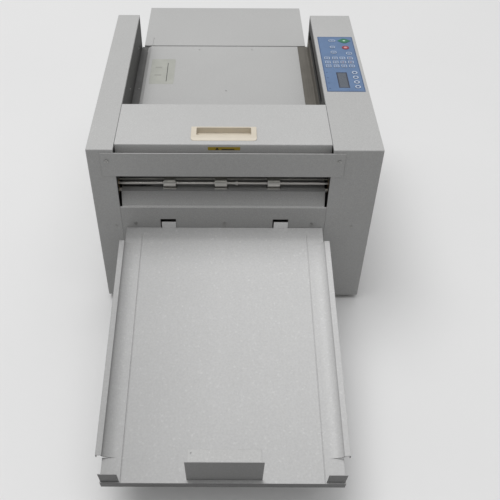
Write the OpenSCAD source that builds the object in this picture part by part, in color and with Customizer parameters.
// Sheet-fed paper creasing and perforating machine with a delivery tray.
// Millimetres. X runs across the machine, Y to the rear, Z up; feet stand on Z = 0.
// The origin is the centre of the footprint, tray and rear table included.

/* [Body] */
// Width over both side towers
machine_w = 600; // [580:1:640]
// Depth of the towers, front to rear
machine_d = 595; // [570:1:640]
// Height of the tower tops above the floor
machine_h = 440; // [430:1:460]
// Height of the rubber feet
foot_h = 13; // [8:1:14]
// Width of the left tower
left_tower_w = 54.4; // [52:0.1:60]
// Width of the right tower, which carries the key panel
right_tower_w = 101.1; // [98:0.1:110]
// Thickness of the painted sheet
sheet_t = 1.5; // [1:0.1:1.5]
// Thickness of the steel side frames
frame_t = 5; // [4:0.5:6]

/* [Lid] */
// Distance from the tower fronts to the lid's front edge
lid_front = 20; // [18:1:24]
// Depth of the lid, front to rear
lid_d = 149; // [140:1:155]
// Gap between the lid and each tower
lid_gap = 0.9; // [0.5:0.1:1.5]
// Width of the handle on the lid
handle_w = 135; // [100:1:160]
// Depth of the handle on the lid
handle_d = 47; // [40:1:50]

/* [Front] */
// Width of the cross beam plate over the exit
beam_w = 496.6; // [480:0.1:510]
// Height of the cross beam plate
beam_h = 58; // [50:0.5:64]
// Drop from the tower tops to the beam's lower edge
beam_drop = 66; // [66:1:80]
// Height of the bend at the top of the front panel
panel_top = 290; // [280:1:300]
// Height of the exit guide that the sheets slide out on
path_z = 321.5; // [320:0.5:324]

/* [Feeding] */
// Width of the infeed table
table_w = 393; // [380:1:400]
// Drop from the tower tops to the tables
table_drop = 90; // [85:1:95]
// Width of the rear extension table
rear_table_w = 433.5; // [420:0.5:440]
// Length of the rear extension table
rear_table_l = 227; // [150:1:300]
// Diameter of the exit pinch rollers
pinch_d = 18; // [16:0.1:20]
// Distance between the outer exit rollers
pinch_span = 222; // [200:0.5:240]

/* [Press] */
// Travel of the press beam
press_travel = 8; // [6:0.5:8]
// Length of the creasing blade
blade_l = 365; // [350:1:370]

/* [Tray] */
// Slope of the delivery tray in degrees
tray_angle = 10.5; // [6:0.5:12]
// Length of the delivery tray along its slope
tray_l = 562; // [500:1:580]
// Width of the tray between its two creases
tray_bed_w = 359; // [350:1:365]
// Width of the flat strip outside each crease
tray_strip_w = 36; // [34:1:38]
// Height of the tabs at the tray's front corners
tray_tab_h = 39; // [20:1:45]
// Width of the sliding paper stop
stop_w = 133; // [100:1:150]
// Height of the sliding paper stop
stop_h = 92; // [60:1:95]

/* [Keys] */
// Width of the blue key panel
panel_w = 86; // [84:1:88]
// Length of the blue key panel
panel_l = 255; // [250:1:260]
// Travel of a pressed key
key_travel = 0.5; // [0.3:0.1:0.5]

/* [Hidden] */
$fn = 48;

big = 2000;
slit = 0.3;
half_w = machine_w / 2;
left_in = -half_w + left_tower_w;
right_in = half_w - right_tower_w;
mid_x = (left_in + right_in) / 2;
mid_w = right_in - left_in;
table_z = machine_h - table_drop;
infeed_x0 = mid_x - 0.6 - table_w / 2;
table_flange = 15;
table_edge_w = 9.1;
skirt_h = 6;
left_frame_x = left_in - sheet_t - frame_t;
right_frame_x = right_in + sheet_t;

// Tray: the slope starts at the front panel, and the stop stands at the tray's front end.
tray_z = 231;
tray_x = -20.7;
tray_t = 1.2;
tray_flat = 10;
stop_s = tray_l - 6;
function tray_y(s, e) = -s * cos(tray_angle) - e * sin(tray_angle);
foremost = min(tray_y(stop_s, stop_h), tray_y(tray_l, 0), tray_y(tray_l - 3, tray_tab_h));
rear_table_y = machine_d + 5;
rearmost = rear_table_y + rear_table_l;
front_y = -(foremost + rearmost) / 2;

// Roller and shaft centres, in Y from the tower fronts and Z from the floor
pinch_y = 29.5;
pinch_z = path_z + 1.7 + pinch_d / 2;
exit_r = 9;
exit_z = pinch_z - pinch_d / 2 - 0.4 - exit_r;
ramp_start = 160;
ramp_end = 105;
ramp_z = path_z + 1.5;
ramp_slope = atan((table_z - ramp_z) / (ramp_start - ramp_end));
infeed_r = exit_r;
infeed_pinch_r = 12;
nip_y = 135;
nip_z = table_z - (ramp_start - nip_y) * tan(ramp_slope);
nip_gap = 0.3;
infeed_y = nip_y + (infeed_r + nip_gap) * sin(ramp_slope);
infeed_z = nip_z - (infeed_r + nip_gap) * cos(ramp_slope);
infeed_pinch_y = nip_y - (infeed_pinch_r + nip_gap) * sin(ramp_slope);
infeed_pinch_z = nip_z + (infeed_pinch_r + nip_gap) * cos(ramp_slope);
press_y = 82;
press_z = path_z + 19.5;
press_h = 32;
shaft_z = press_z + press_h + 19;
throw = press_travel / 2;
cam_r = 11;
post_r = 5;
lid_pin_y = lid_front + lid_d - 6;
lid_pin_z = machine_h - 12;
lid_pin_r = 4;
pulley_r = 11;
pulley_x = left_frame_x - 11;
pulley_w = 8;
feed_motor_y = 92;
feed_motor_z = 262;
shaft_r = 5;
fit = 0.05;
roller_xs = [mid_x - 3.5 - pinch_span / 2, mid_x - 5.3, mid_x - 3.5 + pinch_span / 2];
roller_w = 26;
post_xs = [mid_x - 201.5, mid_x + 201.5];
yoke_xs = [mid_x - 167.5, mid_x + 167.5];

// Key panel, on the right tower
panel_x0 = 207;
panel_y0 = 221;
film_t = 0.6;
panel_inset = 5;
lcd_x0 = panel_x0 + 28.5;
lcd_y0 = panel_y0 + 15.5;
lcd_w = 24.4;
lcd_l = 67.5;
board_z = machine_h - 5;
pad_cols = [14, 32.5, 50.5, 68.5];
pad_rows = [148, 129, 111];
nav_x = 71;
nav_rows = [81, 60, 39.5, 19];

// Colours
paint = [0.72, 0.72, 0.71];
shade = [0.45, 0.45, 0.44];
steel = [0.62, 0.62, 0.60];
dark = [0.16, 0.16, 0.17];
beige = [0.87, 0.83, 0.75];
blue = [0.39, 0.51, 0.71];
white = [0.82, 0.85, 0.90];

// Puts a piece that is described from the tower fronts into the shared frame.
module placed()
{
    translate([0, front_y, 0])
        children();
}

// Turns a piece into the plane of the tray: X across, -Y down the slope, Z off the bed.
module on_tray()
{
    placed()
        translate([0, 0, tray_z])
            rotate([tray_angle, 0, 0])
                children();
}

// A box from its lowest corner to its highest.
module box(low, high)
{
    translate(low)
        cube(high - low);
}

// A rod along X.
module rod_x(x0, x1, y, z, r)
{
    translate([x0, y, z])
        rotate([0, 90, 0])
            cylinder(r = r, h = x1 - x0);
}

// A rectangle with round corners, from its lowest corner.
module round_rect(w, d, r)
{
    translate([r, 0])
        square([w - 2 * r, d]);
    translate([0, r])
        square([w, d - 2 * r]);
    for (x = [r, w - r])
        for (y = [r, d - r])
            translate([x, y])
                circle(r = r);
}

// An outline in Y and Z drawn out along X.
module across(x0, x1)
{
    translate([x0, 0, 0])
        rotate([90, 0, 90])
            linear_extrude(height = x1 - x0)
                children();
}

// An outline in X and Z drawn out along Y.
module lengthwise(y0, y1)
{
    translate([0, y1, 0])
        rotate([90, 0, 0])
            linear_extrude(height = y1 - y0)
                children();
}

// ---- Frame and covers ----

module base_pan()
{
    lip_h = 22;
    in_x = half_w - sheet_t - slit;
    in_y = sheet_t + slit;
    color(steel)
        placed()
        {
            box([-in_x, in_y, foot_h], [in_x, machine_d - in_y, foot_h + 2]);
            box([-in_x, in_y, foot_h], [in_x, in_y + sheet_t, foot_h + lip_h]);
            box([-in_x, machine_d - in_y - sheet_t, foot_h], [in_x, machine_d - in_y, foot_h + lip_h]);
        }
}

// One side frame, with holes for the shafts, the lid pin and the cross rods.
module side_frame(x0)
{
    inset = 4;
    bush_r = 9;
    difference()
    {
        box([x0, inset, foot_h + 2], [x0 + frame_t, machine_d - inset, machine_h - 4]);
        for (p = [[pinch_y, pinch_z], [pinch_y, exit_z], [infeed_y, infeed_z],
                [infeed_pinch_y, infeed_pinch_z], [press_y, shaft_z]])
            rod_x(x0 - 1, x0 + frame_t + 1, p[0], p[1], bush_r);
        rod_x(x0 - 1, x0 + frame_t + 1, lid_pin_y, lid_pin_z, lid_pin_r + fit);
    }
}

module side_frames()
{
    color(dark)
        placed()
            difference()
            {
                for (x = [left_frame_x, right_frame_x])
                    side_frame(x);
                // Long window in the right frame, over the infeed table
                box([right_frame_x - 1, 247, table_z + 26], [right_frame_x + frame_t + 1, 586, table_z + 53]);
            }
}

// Cross rods that tie the frames, and the two posts that guide the press beam.
module steel_rods()
{
    tie_r = 7;
    tie_z = table_z - table_flange - tie_r;
    color(steel)
        placed()
        {
            for (y = [250, 430, 560])
                rod_x(left_frame_x + frame_t, right_frame_x, y, tie_z, tie_r);
            rod_x(left_frame_x + frame_t, right_frame_x, 60, 120, tie_r);
            rod_x(left_frame_x + frame_t, right_frame_x, 540, 120, tie_r);
            for (x = post_xs)
                translate([x, press_y, path_z])
                    cylinder(r = post_r, h = shaft_z - 9 - path_z);
        }
}

module rubber_feet()
{
    color(dark)
        placed()
            for (x = [-1, 1])
                for (y = [45, machine_d - 45])
                    translate([x * (half_w - 38), y, 0])
                        cylinder(r1 = 16, r2 = 19, h = foot_h);
}

// One tower cover: outer side, top, front and rear, with a skirt down the inner edge.
module tower_cover(x0, x1, skirt_low, inner_is_high)
{
    t = sheet_t;
    z0 = foot_h;
    skirt_x0 = inner_is_high ? x1 - t : x0;
    edge_r = 3;
    difference()
    {
        translate([x0, 0, z0])
            rotate([90, 0, 90])
                linear_extrude(height = x1 - x0)
                {
                    square([machine_d, machine_h - z0 - edge_r]);
                    translate([edge_r, 0])
                        square([machine_d - 2 * edge_r, machine_h - z0]);
                    for (y = [edge_r, machine_d - edge_r])
                        translate([y, machine_h - z0 - edge_r])
                            circle(r = edge_r);
                }
        box([x0 + t, t, z0 - 1], [x1 - t, machine_d - t, machine_h - t]);
        box([skirt_x0 - 1, t, z0 - 1], [skirt_x0 + t + 1, machine_d - t, skirt_low]);
    }
}

module left_cover()
{
    color(paint)
        placed()
            tower_cover(-half_w, left_in, machine_h - skirt_h, true);
}

module right_cover()
{
    color(paint)
        placed()
            difference()
            {
                tower_cover(right_in, half_w, machine_h - skirt_h, false);
                box([panel_x0 + panel_inset, panel_y0 + panel_inset, machine_h - 3],
                    [panel_x0 + panel_w - panel_inset, panel_y0 + panel_l - panel_inset, machine_h + 1]);
            }
}

// Rear closing sheet, with two blocks of vent slots and the cut-out for the inlet.
inlet_x = 120;
inlet_z = 60;
inlet_w = 28;
inlet_h = 50;

module rear_panel()
{
    slots = 9;
    slot_pitch = 9;
    slot_l = 90;
    color(paint)
        placed()
            difference()
            {
                box([left_in + slit, machine_d - sheet_t, foot_h], [right_in - slit, machine_d, table_z - 17]);
                for (x = [-170, 40])
                    for (i = [0 : slots - 1])
                        box([x, machine_d - 3, 170 + i * slot_pitch],
                            [x + slot_l, machine_d + 1, 174 + i * slot_pitch]);
                box([inlet_x - inlet_w / 2, machine_d - 3, inlet_z - inlet_h / 2],
                    [inlet_x + inlet_w / 2, machine_d + 1, inlet_z + inlet_h / 2]);
            }
}

// Plate across the tower fronts over the exit, with a lip along its lower edge.
module front_beam()
{
    beam_x0 = mid_x - 1 - beam_w / 2;
    beam_t = 2;
    z0 = machine_h - beam_drop;
    lip = 12;
    color(shade)
        placed()
        {
            box([beam_x0, -beam_t, z0], [beam_x0 + beam_w, 0, z0 + beam_h]);
            box([left_in + slit, -beam_t, z0], [right_in - slit, lip, z0 + sheet_t]);
        }
}

// Front panel, bent back at its top into the ramp and the exit guide.
slot_w = 34;
slot_xs = [mid_x - 120.6, mid_x + 125];
slot_z0 = 228;
slot_z1 = 255;

module front_panel()
{
    guide_end = 70;
    ramp_top = 15;
    ledge = 3.5;
    t = sheet_t;
    window_w = roller_w + 3;
    window_d = 7.5;
    side = 4.6;
    color(shade)
        placed()
            difference()
            {
                union()
                {
                    across(left_in + slit, right_in - slit)
                        polygon([[0, foot_h], [t, foot_h], [t, panel_top], [0, panel_top]]);
                    across(left_in + side, right_in - side)
                        polygon([[0, panel_top], [ledge, panel_top], [ramp_top, path_z], [guide_end, path_z],
                            [guide_end, path_z - t], [ramp_top + t, path_z - t], [ledge + t, panel_top - t],
                            [ledge + t, panel_top - 3], [0, panel_top - 3]]);
                }
                for (x = slot_xs)
                    box([x - slot_w / 2, -1, slot_z0], [x + slot_w / 2, t + 1, slot_z1]);
                for (x = roller_xs)
                    box([x - window_w / 2, pinch_y - window_d, path_z - 4],
                        [x + window_w / 2, pinch_y + window_d, path_z + 1]);
                // Long slot in the guide at its left end
                box([left_in + 6, 32, path_z - 4], [left_in + 68, 37, path_z + 1]);
            }
}

// ---- Tables ----

module infeed_table()
{
    t = sheet_t;
    x0 = infeed_x0;
    x1 = x0 + table_w;
    rear = machine_d + 1.5;
    window_w = roller_w + 5;
    edge_w = table_edge_w;
    edge_drop = 5;
    color(paint)
        placed()
            difference()
            {
                union()
                {
                    across(x0, x1)
                        polygon([[rear, table_z], [ramp_start, table_z], [ramp_end, ramp_z],
                            [ramp_end, ramp_z - t], [ramp_start, table_z - t], [rear, table_z - t]]);
                    box([x1 - t, ramp_start + 2, table_z - table_flange], [x1, rear, table_z]);
                    lengthwise(ramp_start + 2, rear)
                        polygon([[x0, table_z], [x0 - edge_w, table_z - edge_drop],
                            [x0 - edge_w, table_z - table_flange], [x0 - edge_w + t, table_z - table_flange],
                            [x0 - edge_w + t, table_z - edge_drop - t], [x0 + t, table_z - t], [x0 + t, table_z]]);
                    box([x0, rear - t, table_z - table_flange], [x1, rear, table_z]);
                }
                for (x = roller_xs)
                    box([x - window_w / 2, nip_y - 10, nip_z - 12], [x + window_w / 2, nip_y + 10, nip_z + 12]);
            }
}

// Bare steel rails that close the gaps beside the infeed table.
module side_rails()
{
    t = sheet_t;
    y0 = lid_front + lid_d + 6;
    y1 = machine_d - t - slit;
    y2 = rear_table_y - 0.5;
    low = table_z - 5.5;
    left_x1 = infeed_x0 - table_edge_w - 0.4;
    right_low = table_z - 3;
    right_x0 = infeed_x0 + table_w + 0.4;
    color(steel)
        placed()
        {
            box([left_in - t, y0, low], [left_x1, y1, low + t]);
            box([left_in + slit, y1, low], [left_x1, y2, low + t]);
            box([right_x0, y0, right_low], [right_in + t, y1, right_low + t]);
            box([right_x0, y1, right_low], [right_in - slit, y2, right_low + t]);
            box([right_in, y0, right_low], [right_in + t, y1, table_z + 25.5]);
        }
}

// Rear extension table with turned-down edges.
rear_table_x0 = mid_x + 0.6 - rear_table_w / 2;

module rear_table()
{
    t = sheet_t;
    x0 = rear_table_x0;
    x1 = x0 + rear_table_w;
    slit_x0 = infeed_x0 + 2;
    slit_depth = 0.9;
    color(paint)
        placed()
            difference()
            {
                box([x0, rear_table_y, table_z - table_flange], [x1, rearmost, table_z]);
                box([x0 + t, rear_table_y + t, table_z - table_flange - 1], [x1 - t, rearmost - t, table_z - t]);
                // Short slit that lines up with the infeed table's edge
                box([slit_x0, rear_table_y + 3, table_z - slit_depth], [slit_x0 + 3, rear_table_y + 42, table_z + 1]);
            }
}

// Two arms that carry the rear table off the rear panel.
module table_arms()
{
    t = sheet_t;
    arm_w = 22;
    inset = 60;
    reach = 150;
    color(shade)
        placed()
            for (x = [rear_table_x0 + inset, rear_table_x0 + rear_table_w - inset - arm_w])
                across(x, x + arm_w)
                    polygon([[machine_d, table_z - 22], [rear_table_y + 2, table_z - 17],
                        [rear_table_y + 2, table_z - t], [rear_table_y + reach, table_z - t],
                        [rear_table_y + reach, table_z - 14], [machine_d, table_z - 90]]);
}

// ---- Press ----

module lower_die()
{
    depth = 20;
    bar_h = 26;
    groove_w = 4;
    groove_d = 6;
    color(steel)
        placed()
            difference()
            {
                box([left_frame_x + frame_t, press_y - depth / 2, path_z - bar_h],
                    [right_frame_x, press_y + depth / 2, path_z]);
                box([mid_x - blade_l / 2 - 5, press_y - groove_w / 2, path_z - groove_d],
                    [mid_x + blade_l / 2 + 5, press_y + groove_w / 2, path_z + 1]);
            }
}

module bearings()
{
    outer_r = 9;
    flange_r = 12;
    flange_t = 1;
    shafts = [[pinch_y, pinch_z, 3], [infeed_y, infeed_z, shaft_r],
        [infeed_pinch_y, infeed_pinch_z, shaft_r], [press_y, shaft_z, 6]];
    color([0.72, 0.56, 0.30])
        placed()
            for (x = [left_frame_x, right_frame_x])
            {
                for (s = shafts)
                    difference()
                    {
                        rod_x(x, x + frame_t, s[0], s[1], outer_r);
                        rod_x(x - 1, x + frame_t + 1, s[0], s[1], s[2] + fit);
                    }
                difference()
                {
                    rod_x(x, x + frame_t, pinch_y, exit_z, outer_r - 0.2);
                    rod_x(x - 1, x + frame_t + 1, pinch_y, exit_z, shaft_r + fit);
                    rod_x(x - 1, x + frame_t + 1, pinch_y, pinch_z, outer_r + 0.1);
                }
            }
}

module press_beam()
{
    depth = 20;
    yoke_w = 44;
    yoke_t = 8;
    window = 2 * (cam_r + throw + 0.6);
    top = shaft_z + window / 2 + press_travel + 5;
    color(steel)
        placed()
            difference()
            {
                union()
                {
                    box([mid_x - 216, press_y - depth / 2, press_z], [mid_x + 216, press_y + depth / 2, press_z + press_h]);
                    for (x = yoke_xs)
                        box([x - yoke_t / 2, press_y - yoke_w / 2, press_z + press_h - 12],
                            [x + yoke_t / 2, press_y + yoke_w / 2, top]);
                }
                for (x = yoke_xs)
                    box([x - yoke_t, press_y - window / 2, shaft_z - window / 2],
                        [x + yoke_t, press_y + window / 2, shaft_z + window / 2 + press_travel]);
                for (x = post_xs)
                    translate([x, press_y, press_z - 1])
                        cylinder(r = post_r + fit, h = press_h + 2);
            }
}

// Creasing blade under the press beam, with a row of perforating teeth.
module tool_blade()
{
    blade_t = 2;
    blade_h = 13;
    tooth = 5;
    teeth = floor(blade_l / (2 * tooth));
    color(steel)
        placed()
            difference()
            {
                box([mid_x - blade_l / 2, press_y - blade_t / 2, press_z - blade_h],
                    [mid_x + blade_l / 2, press_y + blade_t / 2, press_z]);
                for (i = [0 : teeth - 1])
                    translate([mid_x - blade_l / 2 + (2 * i + 0.5) * tooth, press_y - blade_t, press_z - blade_h - 1])
                        cube([tooth, 2 * blade_t, 3]);
            }
}

module eccentric_shaft()
{
    r = 6;
    cam_w = 6;
    color(steel)
        placed()
        {
            rod_x(left_frame_x - 3, right_frame_x + frame_t + 14, press_y, shaft_z, r);
            for (x = yoke_xs)
                rod_x(x - cam_w / 2, x + cam_w / 2, press_y, shaft_z + throw, cam_r);
            rod_x(right_frame_x + frame_t + 3, right_frame_x + frame_t + 14, press_y, shaft_z, 11);
        }
}

// ---- Rollers and their drive ----

// A toothed pulley with two flanges on a shaft at (y, z).
module pulley(y, z)
{
    teeth = 20;
    difference()
    {
        union()
        {
            rod_x(pulley_x, pulley_x + pulley_w, y, z, pulley_r - 0.4);
            rod_x(pulley_x, pulley_x + 0.8, y, z, pulley_r + 2.5);
            rod_x(pulley_x + pulley_w - 0.8, pulley_x + pulley_w, y, z, pulley_r + 2.5);
        }
        for (i = [0 : teeth - 1])
            translate([0, y, z])
                rotate([i * 360 / teeth, 0, 0])
                    box([pulley_x + 0.8, pulley_r - 1.2, -0.7], [pulley_x + pulley_w - 0.8, pulley_r, 0.7]);
    }
}

module infeed_roller()
{
    color(dark)
        placed()
        {
            rod_x(left_frame_x - 12, right_frame_x + frame_t + 2, infeed_y, infeed_z, shaft_r);
            for (x = roller_xs)
                rod_x(x - roller_w / 2, x + roller_w / 2, infeed_y, infeed_z, infeed_r);
            pulley(infeed_y, infeed_z);
        }
}

module infeed_pinch()
{
    color(steel)
        placed()
        {
            rod_x(left_frame_x - 2, right_frame_x + frame_t + 2, infeed_pinch_y, infeed_pinch_z, shaft_r);
            for (x = roller_xs)
                rod_x(x - roller_w / 2, x + roller_w / 2, infeed_pinch_y, infeed_pinch_z, infeed_pinch_r);
        }
}

module exit_roller()
{
    color(dark)
        placed()
        {
            rod_x(left_frame_x - 12, right_frame_x + frame_t + 2, pinch_y, exit_z, shaft_r);
            for (x = roller_xs)
                rod_x(x - roller_w / 2, x + roller_w / 2, pinch_y, exit_z, exit_r);
            pulley(pinch_y, exit_z);
        }
}

module pinch_rollers()
{
    collar_x = mid_x + 26;
    color(steel)
        placed()
        {
            rod_x(left_frame_x - 2, right_frame_x + frame_t + 2, pinch_y, pinch_z, 3);
            for (x = roller_xs)
                rod_x(x - roller_w / 2, x + roller_w / 2, pinch_y, pinch_z, pinch_d / 2);
            rod_x(collar_x, collar_x + 5, pinch_y, pinch_z, 5);
        }
}

// Bar with three saddles that shield the tops of the exit pinch rollers.
module roller_saddles()
{
    bar_y = pinch_y + 16;
    bar_z = pinch_z - 2;
    inner_r = pinch_d / 2 + 0.4;
    outer_r = inner_r + 0.9;
    saddle_w = 25;
    rim_angle = 44;
    color(steel)
        placed()
        {
            rod_x(left_frame_x + frame_t, right_frame_x, bar_y, bar_z, 2.2);
            for (x = roller_xs)
                difference()
                {
                    union()
                    {
                        rod_x(x - saddle_w / 2, x + saddle_w / 2, pinch_y, pinch_z, outer_r);
                        box([x - saddle_w / 2, pinch_y, pinch_z + inner_r], [x + saddle_w / 2, bar_y, pinch_z + outer_r]);
                        box([x - saddle_w / 2, bar_y - 1.5, bar_z], [x + saddle_w / 2, bar_y, pinch_z + outer_r]);
                    }
                    rod_x(x - saddle_w, x + saddle_w, pinch_y, pinch_z, inner_r);
                    translate([x, pinch_y, pinch_z])
                        rotate([-rim_angle, 0, 0])
                            box([-saddle_w, -2 * outer_r, -2 * outer_r], [saddle_w, 0, 0]);
                    box([x - saddle_w, pinch_y - 2 * outer_r, pinch_z - 2 * outer_r],
                        [x + saddle_w, bar_y - 1.5, pinch_z + 0.5]);
                }
        }
}

module feed_pulley()
{
    color(steel)
        placed()
        {
            pulley(feed_motor_y, feed_motor_z);
            rod_x(pulley_x - 3, pulley_x + pulley_w, feed_motor_y, feed_motor_z, 3);
        }
}

// Flat outline around the three pulleys of the feed drive.
module belt_outline(r)
{
    hull()
        for (p = [[infeed_y, infeed_z], [pinch_y, exit_z], [feed_motor_y, feed_motor_z]])
            translate(p)
                circle(r = r, $fn = 32);
}

module feed_belt()
{
    gap = 0.35;
    belt_t = 1.6;
    color(dark)
        placed()
            across(pulley_x + 1.2, pulley_x + pulley_w - 1.2)
                difference()
                {
                    belt_outline(pulley_r + gap + belt_t);
                    belt_outline(pulley_r + gap);
                }
}

module main_motor()
{
    face_x = right_frame_x + frame_t + 16;
    body_r = 30;
    body_l = 68;
    plate = 3;
    color(dark)
        placed()
        {
            rod_x(face_x + plate, face_x + body_l, press_y, shaft_z, body_r);
            box([face_x, press_y - 36, shaft_z - 36], [face_x + plate, press_y + 36, shaft_z + 36]);
            for (y = [-30, 30])
                for (z = [-30, 30])
                    rod_x(right_frame_x + frame_t, face_x, press_y + y, shaft_z + z, 3.5);
        }
}

module feed_motor()
{
    half = 21;
    x0 = -half_w + sheet_t + 1;
    x1 = pulley_x - 3.3;
    plate = 3;
    color(dark)
        placed()
        {
            box([x0, feed_motor_y - half, feed_motor_z - half], [x1, feed_motor_y + half, feed_motor_z + half]);
            box([x0, feed_motor_y - half, feed_motor_z - half - plate],
                [left_frame_x, feed_motor_y + half, feed_motor_z - half]);
        }
}

// ---- Lid ----

module top_lid()
{
    t = sheet_t;
    x0 = left_in + lid_gap;
    x1 = right_in - lid_gap;
    y0 = lid_front;
    y1 = lid_front + lid_d;
    drop = 24;
    front_drop = 22;
    hole_x = mid_x + 0.8;
    edge_r = 2.5;
    color(paint)
        placed()
            difference()
            {
                union()
                {
                    translate([x0, 0, 0])
                        rotate([90, 0, 90])
                            linear_extrude(height = x1 - x0)
                            {
                                translate([y0, machine_h - drop])
                                    square([lid_d, drop - edge_r]);
                                translate([y0 + edge_r, machine_h - drop])
                                    square([lid_d - 2 * edge_r, drop]);
                                for (y = [y0 + edge_r, y1 - edge_r])
                                    translate([y, machine_h - edge_r])
                                        circle(r = edge_r);
                            }
                    rod_x(left_frame_x + 0.5, x0 + t, lid_pin_y, lid_pin_z, lid_pin_r);
                    rod_x(x1 - t, right_frame_x + frame_t - 0.5, lid_pin_y, lid_pin_z, lid_pin_r);
                }
                box([x0 + t, y0 + t, machine_h - drop - 1], [x1 - t, y1 - t, machine_h - t]);
                box([x0 + t, y0 - 1, machine_h - drop - 1], [x1 - t, y0 + t + 1, machine_h - front_drop]);
                translate([hole_x - handle_w / 2 + 9, lid_front + 26, machine_h - 5])
                    cube([handle_w - 18, 31, 10]);
            }
}

// Outline of the handle's flange: large front corners, small rear corners.
module handle_outline()
{
    round_rect(handle_w, handle_d, 7);
    translate([0, handle_d / 2])
        round_rect(handle_w, handle_d / 2, 1.5);
}

// Flush pull set into the lid: a flange with a sloping front on top and a finger cup below.
module lid_handle()
{
    x0 = mid_x + 0.8 - handle_w / 2;
    y0 = lid_front + 11.5;
    flange_t = 2.6;
    lip_t = 0.6;
    lip_d = 8;
    cup_d = 27;
    cup_w = handle_w - 22;
    cup_h = 12;
    wall = 1.5;
    cup_y = lid_front + 28;
    color(beige)
        placed()
            difference()
            {
                union()
                {
                    intersection()
                    {
                        translate([x0, y0, machine_h])
                            linear_extrude(height = flange_t)
                                handle_outline();
                        across(x0 - 1, x0 + handle_w + 1)
                            polygon([[y0 - 1, machine_h], [y0, machine_h + lip_t], [y0 + lip_d, machine_h + flange_t],
                                [y0 + handle_d + 1, machine_h + flange_t], [y0 + handle_d + 1, machine_h]]);
                    }
                    translate([x0 + 11 - wall, cup_y - wall, machine_h - cup_h])
                        linear_extrude(height = cup_h + 1)
                            round_rect(cup_w + 2 * wall, cup_d + 2 * wall, 4);
                }
                translate([x0 + 11, cup_y, machine_h - cup_h + wall])
                    linear_extrude(height = cup_h + 5)
                        round_rect(cup_w, cup_d, 3);
            }
}

// ---- Tray and stop ----

// Section of one side of the tray, for side = -1 (left) or 1 (right): a curl up, a rim and a hem.
module tray_side(side)
{
    x_in = tray_bed_w / 2 + tray_flat;
    rise = 12;
    curl = tray_strip_w - tray_flat;
    rim_w = 11;
    hem = 9;
    t = tray_t;
    steps = 10;
    inner = [for (i = [0 : steps]) [x_in + curl * sin(90 * i / steps), rise * (1 - cos(90 * i / steps))]];
    outer = [for (i = [steps : -1 : 0])
        [x_in + (curl + t) * sin(90 * i / steps) - 0.01, -t + rise * (1 - cos(90 * i / steps))]];
    x_out = x_in + curl + rim_w;
    mirror([side < 0 ? 1 : 0, 0])
        polygon(concat(inner, [[x_in + curl, rise + t], [x_out, rise + t], [x_out, rise - hem],
            [x_out - t, rise - hem], [x_out - t, rise], [x_in + curl + t, rise]], outer));
}

module delivery_tray()
{
    half_bed = tray_bed_w / 2;
    half_all = half_bed + tray_strip_w;
    side_s0 = 46;
    side_s1 = tray_l - 45;
    t = tray_t;
    tab_s = tray_l - 2.2;
    tab_x0 = half_bed + 2;
    tab_w = 32.5;
    lip_h = 20;
    tongue_w = 31;
    back = 0.6;
    crease_w = 1.8;
    color(paint)
        on_tray()
            translate([tray_x, 0, 0])
            {
                difference()
                {
                    union()
                    {
                        box([-half_all, -tray_l, -t], [half_all, -back, 0]);
                        box([-half_all, -tray_l, -lip_h], [half_all, -tray_l + t, 0]);
                        for (side = [-1, 1])
                            translate([side * (tab_x0 + tab_w / 2) - tab_w / 2, -tab_s, -t])
                                cube([tab_w, t, tray_tab_h + t]);
                    }
                    for (side = [-1, 1])
                    {
                        translate([side * (half_bed + tray_flat + tray_strip_w) - tray_strip_w, -side_s1, -t - 1])
                            cube([2 * tray_strip_w, side_s1 - side_s0, t + 2]);
                        translate([side * half_bed - crease_w / 2, -tray_l + t, -0.7])
                            cube([crease_w, tray_l - 24, 1]);
                    }
                }
                for (side = [-1, 1])
                    translate([0, -side_s0, 0])
                        rotate([90, 0, 0])
                            linear_extrude(height = side_s1 - side_s0)
                                tray_side(side);
            }
    // Hooks that hang the tray in the front panel's slots
    color(paint)
        placed()
            for (x = slot_xs)
                translate([x + slot_w / 2 - 0.3 - tongue_w, 0, tray_z])
                {
                    box([0, -1.7, -0.8], [tongue_w, -0.5, 17]);
                    box([0, -1.7, 2.5], [tongue_w, 11, 3.7]);
                    box([0, 9.8, -3], [tongue_w, 11, 3.7]);
                }
}

// Upright stop on a flat foot, held to the tray by magnets.
module paper_stop()
{
    foot_l = 55;
    lift = 0.05;
    t = 1.2;
    x0 = tray_x + 2.8 - stop_w / 2;
    color(shade)
        on_tray()
            difference()
            {
                union()
                {
                    box([x0, -stop_s, lift], [x0 + stop_w, -stop_s + t, stop_h]);
                    box([x0, -stop_s, lift], [x0 + stop_w, -stop_s + foot_l, lift + t]);
                }
                translate([x0 + 6, -stop_s + 47, -1])
                    cylinder(r = 1.6, h = 5);
            }
}

// ---- Electrics ----

module power_supply()
{
    low = [right_in + 16, 300, foot_h + 2];
    size = [78, 150, 52];
    slots = 8;
    color(steel)
        placed()
            difference()
            {
                box(low, low + size);
                for (i = [0 : slots - 1])
                    box(low + [12, 15 + i * 16, size[2] - 2], low + [size[0] - 12, 22 + i * 16, size[2] + 1]);
            }
}

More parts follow.
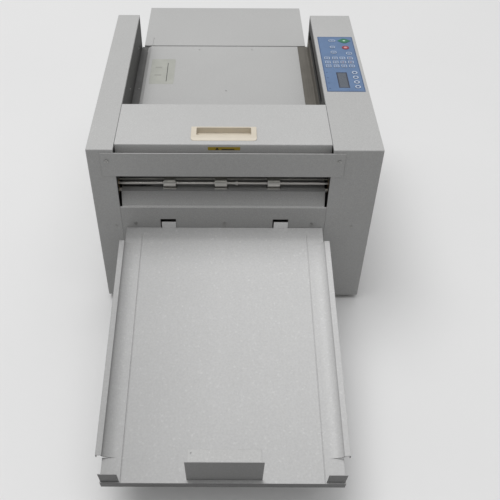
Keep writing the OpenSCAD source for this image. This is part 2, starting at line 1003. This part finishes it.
// Key board under the panel, and the drive board on the right frame.
module control_board()
{
    z0 = board_z;
    color([0.10, 0.35, 0.20])
        placed()
        {
            difference()
            {
                box([panel_x0 + 1, panel_y0 + 2, z0], [panel_x0 + panel_w - 1, panel_y0 + panel_l - 2, z0 + 1.6]);
                box([lcd_x0 - 0.4, lcd_y0 - 0.4, z0 - 1], [lcd_x0 + lcd_w + 0.4, lcd_y0 + lcd_l + 0.4, z0 + 3]);
            }
            for (x = [panel_x0 + 3, panel_x0 + panel_w - 3])
                for (y = [panel_y0 + 20, panel_y0 + panel_l - 20])
                    translate([x, y, z0])
                        cylinder(r = 1.8, h = machine_h - sheet_t - z0);
            box([right_frame_x + frame_t + 8, 150, 120], [right_frame_x + frame_t + 9.6, 400, 290]);
            for (y = [160, 390])
                for (z = [130, 280])
                    rod_x(right_frame_x + frame_t, right_frame_x + frame_t + 8, y, z, 3);
            box([right_frame_x + frame_t + 9.6, 180, 150], [right_frame_x + frame_t + 24, 230, 200]);
            box([right_frame_x + frame_t + 9.6, 260, 160], [right_frame_x + frame_t + 13, 290, 190]);
        }
}

module lcd_module()
{
    color([0.30, 0.33, 0.30])
        placed()
        {
            box([lcd_x0, lcd_y0, board_z], [lcd_x0 + lcd_w, lcd_y0 + lcd_l, machine_h + 0.2]);
            box([lcd_x0 - 6, lcd_y0 - 6, board_z - 1.6], [lcd_x0 + lcd_w + 6, lcd_y0 + lcd_l + 6, board_z]);
        }
}

module membrane_panel()
{
    gap = 0.3;
    color(blue)
        placed()
            difference()
            {
                translate([panel_x0, panel_y0, machine_h])
                    linear_extrude(height = film_t)
                        round_rect(panel_w, panel_l, 2);
                box([lcd_x0 - 0.1, lcd_y0 - 0.1, machine_h - 1], [lcd_x0 + lcd_w + 0.1, lcd_y0 + lcd_l + 0.1, machine_h + 2]);
                translate([0, 0, machine_h - 1])
                    linear_extrude(height = 3)
                    {
                        start_outline(gap);
                        stop_outline(gap);
                        for (p = oval_keys)
                            oval_outline(p, gap);
                        for (y = nav_rows)
                            round_outline([nav_x, y], gap);
                        for (y = pad_rows)
                            for (x = pad_cols)
                                pad_outline([x, y], gap);
                    }
            }
}

// Inlet and switch in one flanged block on the rear panel.
switch_z = inlet_z + 13;
trunnion_r = 1.5;

module power_inlet()
{
    y0 = machine_d;
    flange_t = 2.5;
    deep = 24;
    color(dark)
        placed()
        {
            difference()
            {
                union()
                {
                    box([inlet_x - 17, y0, inlet_z - 29], [inlet_x + 17, y0 + flange_t, inlet_z + 29]);
                    box([inlet_x - inlet_w / 2 + 0.2, y0 - deep, inlet_z - inlet_h / 2 + 0.2],
                        [inlet_x + inlet_w / 2 - 0.2, y0 + 1, inlet_z + inlet_h / 2 - 0.2]);
                }
                box([inlet_x - 12, y0 - 16, inlet_z - 22], [inlet_x + 12, y0 + 4, inlet_z - 5]);
                box([inlet_x - 10.5, y0 - 16, switch_z - 7.5], [inlet_x + 10.5, y0 + 4, switch_z + 7.5]);
                rod_x(inlet_x - 11.7, inlet_x + 11.7, y0 - 5, switch_z, trunnion_r + fit);
            }
            for (x = [-7, 0, 7])
                box([inlet_x + x - 1, y0 - 16.5, inlet_z - (x == 0 ? 13 : 17)],
                    [inlet_x + x + 1, y0 - 2, inlet_z - (x == 0 ? 9 : 13)]);
        }
}

module power_rocker()
{
    tilt = 6;
    color(dark)
        placed()
            translate([0, machine_d - 5, switch_z])
                rotate([tilt, 0, 0])
                {
                    across(inlet_x - 10, inlet_x + 10)
                        polygon([[-7, -3], [-7, 3], [6, 6], [9.5, 6], [7.4, 0], [9.5, -6], [6, -6]]);
                    rod_x(inlet_x - 11.4, inlet_x + 11.4, 0, 0, trunnion_r);
                }
}

// ---- Keys ----

// Places of the four oval keys: enter, clear, mode and test.
oval_keys = [[34, 234, 8.5, 5.5], [32.5, 202, 6.5, 5.5], [32.5, 176, 7, 6.5], [69, 171, 7, 6.5]];

module key_place(p)
{
    translate([panel_x0 + p[0], panel_y0 + p[1]])
        children();
}

module start_outline(gap)
{
    key_place([64, 234])
        polygon([[-16 - gap, 0], [-10, -5.5 - gap], [-3, -11 - gap], [3, -11 - gap], [10, -5.5 - gap],
            [16 + gap, 0], [10, 5.5 + gap], [3, 11 + gap], [-3, 11 + gap], [-10, 5.5 + gap]]);
}

module stop_outline(gap)
{
    key_place([64, 200])
        circle(r = 8.5 + gap);
}

module oval_outline(p, gap)
{
    key_place(p)
        translate([-p[2] - gap, -p[3] - gap])
            round_rect(2 * (p[2] + gap), 2 * (p[3] + gap), p[3] + gap - 1);
}

module round_outline(p, gap)
{
    key_place(p)
        circle(r = 6.5 + gap);
}

module pad_outline(p, gap)
{
    key_place(p)
        translate([-6.5 - gap, -6 - gap])
            round_rect(13 + 2 * gap, 12 + 2 * gap, 2 + gap);
}

// A key: a cap that shows through the film, and the plunger under it.
module key_body(p, tint)
{
    cap_low = machine_h - 0.4;
    cap_high = machine_h + film_t + 0.7;
    color(tint)
        placed()
        {
            translate([0, 0, cap_low])
                linear_extrude(height = cap_high - cap_low)
                    children();
            translate([panel_x0 + p[0], panel_y0 + p[1], machine_h - 3.4 + key_travel + 0.2])
                cylinder(r = 2, h = cap_low - machine_h + 3.4 - key_travel);
        }
}

module oval_key(i)
{
    key_body(oval_keys[i], white)
        oval_outline(oval_keys[i], 0);
}

module nav_key(i)
{
    key_body([nav_x, nav_rows[i]], white)
        round_outline([nav_x, nav_rows[i]], 0);
}

module pad_key(i)
{
    p = [pad_cols[(i - 1) % len(pad_cols)], pad_rows[floor((i - 1) / len(pad_cols))]];
    key_body(p, white)
        pad_outline(p, 0);
}

module key_start()
{
    key_body([64, 234], [0.16, 0.50, 0.32])
        start_outline(0);
}

module key_stop()
{
    key_body([64, 200], [0.66, 0.24, 0.30])
        stop_outline(0);
}

// ---- Fasteners ----

// A pan head with a cross recess, standing on the face at p and looking along -Y.
module front_head(p, r)
{
    translate(p)
        rotate([90, 0, 0])
            difference()
            {
                cylinder(r = r, h = r * 0.5);
                translate([-r * 0.7, -0.5, r * 0.2])
                    cube([r * 1.4, 1, r]);
                translate([-0.5, -r * 0.7, r * 0.2])
                    cube([1, r * 1.4, r]);
            }
}

// A low head with a hexagon socket, standing on the face at p and looking along +Z.
module top_head(p, r)
{
    translate(p)
        difference()
        {
            cylinder(r = r, h = r * 0.45);
            translate([0, 0, r * 0.15])
                cylinder(r = r * 0.5, h = r, $fn = 6);
        }
}

// A low round head standing on the face at p and looking along +X.
module side_head(p, r)
{
    translate(p)
        rotate([0, 90, 0])
            difference()
            {
                cylinder(r = r, h = r * 0.5);
                translate([0, 0, r * 0.2])
                    cylinder(r = r * 0.5, h = r, $fn = 6);
            }
}

module screws()
{
    ledge_z = table_z - 4;
    color(steel)
        placed()
        {
            for (x = [left_in - 15, right_in + 14])
                front_head([x, -2, machine_h - 27.5], 4);
            for (x = [mid_x - 192, mid_x + 2.4, mid_x + 194.4])
                front_head([x, 0, 242], 3.6);
            for (x = [left_in - 14, right_in + 60])
                front_head([x, 0, 235], 2.5);
            for (p = [[-91, 577], [50, 578], [-19, 371]])
                top_head([p[0], p[1], table_z], 1.6);
            for (y = [385, 587])
                top_head([-236, y, ledge_z], 2.2);
            for (p = [[523, 382], [317, 386]])
                side_head([left_frame_x + frame_t, p[0], p[1]], 2.4);
            side_head([left_frame_x + frame_t, 36, 304.5], 2);
            for (x = [left_in + 14, mid_x, right_in - 14])
                for (z = [40, table_z - 30])
                    mirror([0, 1, 0])
                        front_head([x, -machine_d, z], 3);
        }
}

base_pan();
side_frames();
steel_rods();
rubber_feet();
left_cover();
right_cover();
rear_panel();
front_beam();
front_panel();
infeed_table();
side_rails();
rear_table();
table_arms();
lower_die();
bearings();
top_lid();
lid_handle();
press_beam();
tool_blade();
eccentric_shaft();
infeed_roller();
infeed_pinch();
exit_roller();
pinch_rollers();
roller_saddles();
delivery_tray();
paper_stop();
main_motor();
feed_motor();
feed_pulley();
feed_belt();
power_supply();
control_board();
lcd_module();
membrane_panel();
power_inlet();
power_rocker();
screws();
key_start();
key_stop();
oval_key(0);  // key_enter
oval_key(1);  // key_clear
oval_key(2);  // key_mode
oval_key(3);  // key_test
nav_key(0);  // key_up
nav_key(1);  // key_right
nav_key(2);  // key_down
nav_key(3);  // key_left
pad_key(1);  // key_pad_1
pad_key(2);  // key_pad_2
pad_key(3);  // key_pad_3
pad_key(4);  // key_pad_4
pad_key(5);  // key_pad_5
pad_key(6);  // key_pad_6
pad_key(7);  // key_pad_7
pad_key(8);  // key_pad_8
pad_key(9);  // key_pad_9
pad_key(10);  // key_pad_10
pad_key(11);  // key_pad_11
pad_key(12);  // key_pad_12
